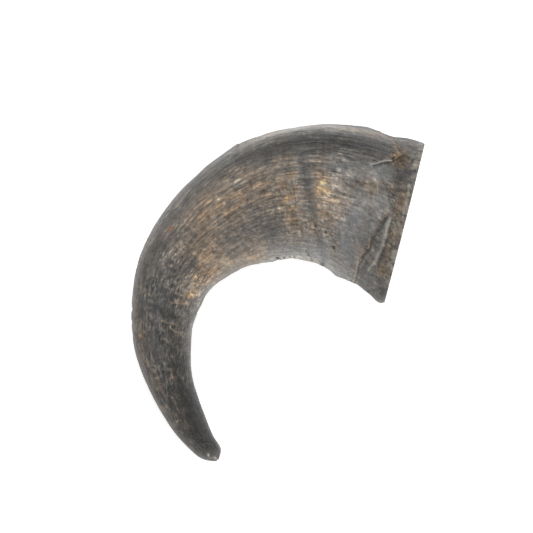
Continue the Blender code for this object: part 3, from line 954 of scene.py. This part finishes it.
def steps_between(near, far, step):
    """Rings after near up to and with far, evenly spaced at about this step."""
    count = max(1, round(float(np.mean(far - near)) / step))
    return [near + (far - near) * number / count for number in range(1, count + 1)]


class Loop:
    """Collects a cone's rings with what each one's points know about the skin."""

    def __init__(self, number, relief, angles):
        self.number = number
        self.relief = relief
        self.angles = angles
        self.points = []
        self.distances = []
        self.depths = []

    def add(self, distance, depth, opened, bump=None):
        relief = read_map(self.relief, distance, self.angles) if bump is None else bump
        self.points.append(ring_points(distance, self.angles, depth, opened, relief))
        self.distances.append(distance)
        self.depths.append(depth + (1.0 - np.asarray(opened)) * BORE_DEPTH)


def outside_of(loop, number):
    """The cone's outside: hidden under the older cones with long faces, then fine where seen."""
    cone, angles = CONES[number], loop.angles
    here = np.ones(len(angles))
    last = margin_at(number, angles)
    if number == 0:
        lines = [TIP_END * here]
        for far, step in ((TIP_END + 0.6, 0.1), (TIP_ROUND_FROM + 1.0, 0.3)):
            lines += steps_between(lines[-1], far * here, step)
        lines += steps_between(lines[-1], last, cone.step)
        for line in lines:
            loop.add(line, depth_outside(number, line, angles), here)
        return
    start = CONES[number - 1].hollow_end + NOSE_GAP
    first = margin_at(number - 1, angles)
    lines = [start * here]
    for far, step in ((start + 1.0, 0.5), (start + 6.0, 2.5)):
        lines += steps_between(lines[-1], far * here, step)
    under = first - 3.0
    lines += steps_between(lines[-1], under, 7.0)
    lines += steps_between(lines[-1], first, 1.0)
    if CONES[number].name != "inner_lining":
        lines += steps_between(lines[-1], last, cone.step)
    for line in lines:
        loop.add(line, depth_outside(number, line, angles), opening_of(line, start))


def inside_of(loop, number):
    """The cone's inside from its margin back to the bore."""
    cone, angles = CONES[number], loop.angles
    here = np.ones(len(angles))
    start = cone.hollow_end
    last = margin_at(number, angles)
    seen = cone.name == "inner_lining"
    lines = [start * here]
    for far, step in ((start + 1.0, 0.5), (start + 6.0, 2.5 if not seen else 0.8)):
        lines += steps_between(lines[-1], far * here, step)
    lines += steps_between(lines[-1], last, cone.step if seen else 7.0)
    for line in reversed(lines):
        depth = depth_inside(number, line, angles)
        bump = hollow_relief(line, angles) if seen else None
        loop.add(line, depth, opening_of(line, start), bump)


def hollow_relief(distance, angles):
    """Long ridges in the hollow, where the horn grew over its bony core."""
    turn = np.radians(angles)
    waves = 0.30 * np.sin(9 * turn + 0.02 * distance) + 0.22 * np.sin(17 * turn + 1.3)
    waves += 0.16 * np.sin(31 * turn + 0.5 + 0.05 * distance)
    rings = 0.12 * np.sin(distance / 2.3 + 2.0 * np.sin(turn)) + 0.10 * np.sin(distance / 0.9)
    fade = smooth_step((LENGTH - distance) / 6.0)
    return (waves + rings) * fade * np.exp(4.0 / RELIEF_DEPTH)


def lip_of(loop, number):
    """The face at the cone's end: a thin rounded lip, or the flat band of the saw cut."""
    cone, angles = CONES[number], loop.angles
    last = margin_at(number, angles)
    outer = depth_outside(number, last, angles)
    inner = depth_inside(number, last, angles)
    here = np.ones(len(angles))
    if cone.margin is None:
        for share in (0.08, 0.2, 0.35, 0.5, 0.65, 0.8, 0.92):
            loop.add(last, outer + (inner - outer) * share, here)
        return
    loop.add(last + 0.10, outer + (inner - outer) * 0.5, here)


def bore_of(loop, number):
    angles = loop.angles
    here = np.ones(len(angles))
    first = CONES[number - 1].hollow_end + NOSE_GAP if number else TIP_END + 0.4
    lines = steps_between(first * here, CONES[number].hollow_end * here, 1.5)
    for line in reversed(lines[:-1]):
        loop.add(line, 0.0 * here, 0.0 * here, 0.0 * here)
    if number == 0:
        loop.add(first * here, 0.0 * here, 0.0 * here, 0.0 * here)


def shift_to_frame():
    """What moves the plan's points to the CAD frame: its saw cut, middle and lowest point."""
    angles = np.arange(0.0, 360.0, 5.0)
    rings = [
        ring_points(np.full(len(angles), distance), angles, 0.0, 1.0, 0.0)
        for distance in np.linspace(0.0, LENGTH, 200)
    ]
    points = np.concatenate(rings)
    middle = (points[:, 1].min() + points[:, 1].max()) / 2.0
    centre = (CAD_LOW[1] + CAD_HIGH[1]) / 2.0 / MM
    return np.array([CAD_HIGH[0] / MM, centre - middle, CAD_LOW[2] / MM])


SHARP_ANGLE = 62.0  # edges bent more than this stay sharp


def mesh_from_rings(name, points, around):
    """A closed mesh of quads from rings of points, each joined to the next, the last to the first."""
    rings = len(points) // around
    ring = np.repeat(np.arange(rings), around)
    side = np.tile(np.arange(around), rings)
    after = (side + 1) % around
    here = ring * around
    there = (ring + 1) % rings * around
    faces = np.column_stack([here + side, here + after, there + after, there + side])
    mesh = bpy.data.meshes.new(name)
    mesh.vertices.add(len(points))
    mesh.vertices.foreach_set("co", points.astype(np.float32).ravel())
    mesh.loops.add(faces.size)
    mesh.loops.foreach_set("vertex_index", faces.astype(np.int32).ravel())
    mesh.polygons.add(len(faces))
    mesh.polygons.foreach_set("loop_start", np.arange(0, faces.size, 4, dtype=np.int32))
    mesh.update(calc_edges=True)
    mesh.validate()
    mesh.shade_smooth()
    mesh.set_sharp_from_angle(angle=math.radians(SHARP_ANGLE))
    return mesh


def lining_colour(distance, angles):
    """The pale inside, darker and browner down the throat, streaked along its ridges."""
    random = np.random.default_rng(5)
    waves = sum(
        random.uniform(0.3, 1.0) * np.sin(count * np.radians(angles) + random.uniform(0, 6.3))
        for count in (5, 11, 19, 29, 47, 83)
    )
    light = np.clip(0.62 + 0.09 * waves, 0.2, 1.0)
    mouth = smooth_step((distance - 150.0) / 130.0)[:, None]
    pale = np.array([0.40, 0.30, 0.18])
    throat = np.array([0.070, 0.048, 0.030])
    colour = throat * (1.0 - mouth) + pale * mouth
    return colour * light[:, None]


def cut_colour(depth, angles, first, last):
    """The saw cut: fine dark and pale layers one inside another."""
    share = (depth - first) / np.maximum(last - first, 0.01)
    rings = 0.5 + 0.5 * np.sin(share * 21.0 + 1.2 * np.sin(np.radians(angles) * 3.0))
    dark = np.array([0.10, 0.080, 0.060])
    pale = np.array([0.36, 0.28, 0.18])
    return dark + (pale - dark) * rings[:, None]


def paint_cone(mesh, loop, colours, wear):
    """Stores colour, wear and the straightened place on the mesh, for its material to read."""
    angles, number = loop.angles, loop.number
    tone_rows, wear_rows, place_rows = [], [], []
    inner = CONES[number].name == "inner_lining"
    cut = CONES[number].margin is None
    for distance, depth in zip(loop.distances, loop.depths):
        seen = read_map(colours, distance, angles)
        worn = read_map(wear, distance, angles)
        hidden = np.clip((depth - depth_outside(number, distance, angles)) / 0.8, 0.0, 1.0)
        raw = RAW_COLOUR * np.ones((len(angles), 1))
        if inner:
            raw = lining_colour(distance, angles)
            hidden = np.ones(len(angles))
        if cut and distance.min() > LENGTH - 0.01:
            first = depth_outside(number, distance, angles)
            last = depth_inside(number, distance, angles)
            inside_cut = smooth_step((depth - first) / 0.3)[:, None]
            face = cut_colour(depth, angles, first, last)
            seen = seen * (1.0 - inside_cut) + face * inside_cut
            hidden = hidden * smooth_step((depth - last + 0.3) / 0.3)
        seen = seen * (1.0 - hidden[:, None]) + raw * hidden[:, None]
        half_width, half_height = half_sizes(distance)
        turn = np.radians(angles)
        place = [distance, half_width * np.cos(turn), half_height * np.sin(turn)]
        tone_rows.append(np.column_stack([seen, np.ones(len(angles))]))
        wear_rows.append(worn * (1.0 - hidden) + 0.7 * hidden)
        place_rows.append(np.column_stack(place) * MM)
    tone = mesh.attributes.new("tone", "FLOAT_COLOR", "POINT")
    tone.data.foreach_set("color", np.concatenate(tone_rows).astype(np.float32).ravel())
    worn = mesh.attributes.new("wear", "FLOAT", "POINT")
    worn.data.foreach_set("value", np.concatenate(wear_rows).astype(np.float32))
    place = mesh.attributes.new("straight", "FLOAT_VECTOR", "POINT")
    place.data.foreach_set("vector", np.concatenate(place_rows).astype(np.float32).ravel())


def build_cone(number, relief, colours, wear, shift):
    cone = CONES[number]
    angles = np.arange(cone.around) * 360.0 / cone.around
    loop = Loop(number, relief, angles)
    outside_of(loop, number)
    lip_of(loop, number)
    inside_of(loop, number)
    bore_of(loop, number)
    points = (np.concatenate(loop.points) + shift) * MM
    name = cone.name + "_skin"
    mesh = mesh_from_rings(name, points, cone.around)
    paint_cone(mesh, loop, colours, wear)
    piece = bpy.data.objects.new(name, mesh)
    bpy.context.scene.collection.objects.link(piece)
    mesh.materials.append(keratin(cone))
    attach(piece, "root")
    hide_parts(cone.name)
    return piece


# ---------------------------------------------------------------- materials

# What differs from cone to cone: roughness from polished to worn, how strongly the fine
# threads and pores show in the colour and in the surface, and sheen.
FINISHES = {
    "tip_keratin": (0.30, 0.52, 0.18, 0.10, 0.12),
    "weathered_keratin": (0.34, 0.60, 0.22, 0.14, 0.22),
    "scratched_keratin": (0.36, 0.64, 0.26, 0.16, 0.22),
    "grey_keratin": (0.34, 0.60, 0.24, 0.15, 0.18),
    "flaking_keratin": (0.42, 0.72, 0.28, 0.22, 0.06),
    "pale_keratin": (0.45, 0.75, 0.24, 0.20, 0.10),
}


def node(tree, kind, **settings):
    made = tree.nodes.new(kind)
    for name, value in settings.items():
        if name in made.inputs:
            made.inputs[name].default_value = value
        else:
            setattr(made, name, value)
    return made


def stretched(tree, place, scale):
    """The straightened place scaled, so that noise read from it draws out along the horn."""
    mapping = node(tree, "ShaderNodeMapping", Scale=scale)
    tree.links.new(place.outputs["Vector"], mapping.inputs["Vector"])
    return mapping


def noise_at(tree, mapping, scale, detail):
    made = node(tree, "ShaderNodeTexNoise", Scale=scale, Detail=detail, Roughness=0.6)
    tree.links.new(mapping.outputs["Vector"], made.inputs["Vector"])
    return made


def ranged(tree, source, low, high, to_low, to_high):
    limits = {"From Min": low, "From Max": high, "To Min": to_low, "To Max": to_high}
    made = node(tree, "ShaderNodeMapRange", **limits)
    tree.links.new(source, made.inputs["Value"])
    return made.outputs["Result"]


def math_node(tree, operation, first, second):
    made = node(tree, "ShaderNodeMath", operation=operation)
    for socket, value in zip(made.inputs, (first, second)):
        if isinstance(value, (int, float)):
            socket.default_value = value
        else:
            tree.links.new(value, socket)
    return made.outputs["Value"]


def keratin(cone):
    """Horn: the painted tone, broken up by fine threads and pores that also make its bump."""
    smooth, rough, colour_share, bump_height, sheen = FINISHES[cone.slot]
    material = bpy.data.materials.new(cone.slot)
    material.use_nodes = True
    tree = material.node_tree
    shader = tree.nodes["Principled BSDF"]
    tone = node(tree, "ShaderNodeAttribute", attribute_name="tone")
    wear = node(tree, "ShaderNodeAttribute", attribute_name="wear")
    place = node(tree, "ShaderNodeAttribute", attribute_name="straight")
    threads = noise_at(tree, stretched(tree, place, (0.06, 1.0, 1.0)), 2600.0, 3.0)
    rings = noise_at(tree, stretched(tree, place, (1.0, 0.12, 0.12)), 1500.0, 2.0)
    pores = noise_at(tree, stretched(tree, place, (0.6, 1.0, 1.0)), 3800.0, 2.0)
    thread_tone = ranged(tree, threads.outputs["Fac"], 0.3, 0.7, -1.0, 1.0)
    ring_tone = ranged(tree, rings.outputs["Fac"], 0.3, 0.7, -0.6, 0.6)
    pore_tone = ranged(tree, pores.outputs["Fac"], 0.35, 0.65, -0.8, 0.8)
    total = math_node(tree, "ADD", thread_tone, ring_tone)
    total = math_node(tree, "ADD", total, pore_tone)
    factor = math_node(tree, "MULTIPLY", total, colour_share)
    factor = math_node(tree, "ADD", factor, 1.0)
    scaled = node(tree, "ShaderNodeVectorMath", operation="SCALE")
    tree.links.new(tone.outputs["Color"], scaled.inputs[0])
    tree.links.new(factor, scaled.inputs["Scale"])
    tree.links.new(scaled.outputs["Vector"], shader.inputs["Base Color"])

    worn = ranged(tree, wear.outputs["Fac"], 0.0, 1.0, smooth, rough)
    shimmer = math_node(tree, "MULTIPLY", total, 0.05)
    tree.links.new(math_node(tree, "ADD", worn, shimmer), shader.inputs["Roughness"])

    bump = node(tree, "ShaderNodeBump", Strength=1.0, Distance=bump_height * MM)
    tree.links.new(total, bump.inputs["Height"])
    tree.links.new(bump.outputs["Normal"], shader.inputs["Normal"])
    shader.inputs["IOR"].default_value = 1.50
    shader.inputs["Specular IOR Level"].default_value = 0.40
    shader.inputs["Sheen Weight"].default_value = sheen
    shader.inputs["Sheen Roughness"].default_value = 0.35
    shader.inputs["Metallic"].default_value = 0.0
    return material


# ---------------------------------------------------------------- stage, lights and camera

VIEW_ROLL = 14.28  # degrees the saw cut leans in the view
VIEW_WIDTH = 0.62 * 533.0 * MM  # at the horn's middle height
LENS = 1600.0
SENSOR = 36.0
# The view's centre from the plan's origin on the saw cut, in millimetres in the plane of the
# view, rightwards and downwards before the roll.
VIEW_CENTRE = (-86.1, 28.8)
SIGHT_HEIGHT = 0.040


def make_camera(shift):
    camera = bpy.data.cameras.new("camera")
    camera.lens = LENS
    camera.sensor_width = SENSOR
    camera.clip_end = 100.0
    sight = bpy.data.objects.new("camera", camera)
    bpy.context.scene.collection.objects.link(sight)
    roll = math.radians(VIEW_ROLL)
    right, down = VIEW_CENTRE
    x = math.cos(roll) * right + math.sin(roll) * down
    y = math.sin(roll) * right - math.cos(roll) * down
    middle = np.array([x, y]) + shift[:2]
    far = VIEW_WIDTH * LENS / SENSOR
    sight.location = (middle[0] * MM, middle[1] * MM, SIGHT_HEIGHT + far)
    sight.rotation_euler = (0.0, 0.0, roll)
    bpy.context.scene.camera = sight


def make_floor():
    reach = 90.0
    mesh = bpy.data.meshes.new("floor")
    corners = [(-reach, -reach, 0), (reach, -reach, 0), (reach, reach, 0), (-reach, reach, 0)]
    mesh.from_pydata(corners, [], [(0, 1, 2, 3)])
    floor = bpy.data.objects.new("floor", mesh)
    floor.location.z = CAD_LOW[2] - 0.0002
    bpy.context.scene.collection.objects.link(floor)
    material = bpy.data.materials.new("floor_white")
    material.use_nodes = True
    shader = material.node_tree.nodes["Principled BSDF"]
    shader.inputs["Base Color"].default_value = (0.88, 0.88, 0.88, 1.0)
    shader.inputs["Roughness"].default_value = 0.9
    shader.inputs["Specular IOR Level"].default_value = 0.0
    shader.inputs["Emission Color"].default_value = (1.0, 1.0, 1.0, 1.0)
    shader.inputs["Emission Strength"].default_value = 0.50
    mesh.materials.append(material)


def make_world():
    """A white tent: bright at the sides and dimmer overhead, where the camera looks from."""
    world = bpy.data.worlds.new("tent")
    bpy.context.scene.world = world
    world.use_nodes = True
    tree = world.node_tree
    background = tree.nodes["Background"]
    place = node(tree, "ShaderNodeTexCoord")
    split = node(tree, "ShaderNodeSeparateXYZ")
    tree.links.new(place.outputs["Generated"], split.inputs["Vector"])
    light = ranged(tree, split.outputs["Z"], 0.05, 0.55, 1.35, 0.42)
    tree.links.new(light, background.inputs["Strength"])
    background.inputs["Color"].default_value = (1.0, 1.0, 1.0, 1.0)


def make_light(name, place, target, size, power):
    light = bpy.data.lights.new(name, "AREA")
    light.shape = "DISK"
    light.size = size
    light.energy = power
    lamp = bpy.data.objects.new(name, light)
    lamp.location = place
    way = Vector(target) - Vector(place)
    lamp.rotation_euler = way.to_track_quat("-Z", "Y").to_euler()
    bpy.context.scene.collection.objects.link(lamp)


def make_lights():
    middle = (CAD_LOW + CAD_HIGH) / 2.0
    make_light("key", (-0.55, 0.75, 0.55), middle, 0.7, 7.0)
    make_light("fill", (0.75, -0.6, 0.42), middle, 0.8, 9.0)


def main():
    shift = shift_to_frame()
    make_camera(shift)
    marks = marks_on_skin()
    relief = skin_relief(marks)
    colours, wear = skin_colour(marks, relief)
    for number in range(len(CONES)):
        build_cone(number, relief, colours, wear, shift)
    make_floor()
    make_world()
    make_lights()
    bpy.context.scene.view_settings.view_transform = "Standard"


main()
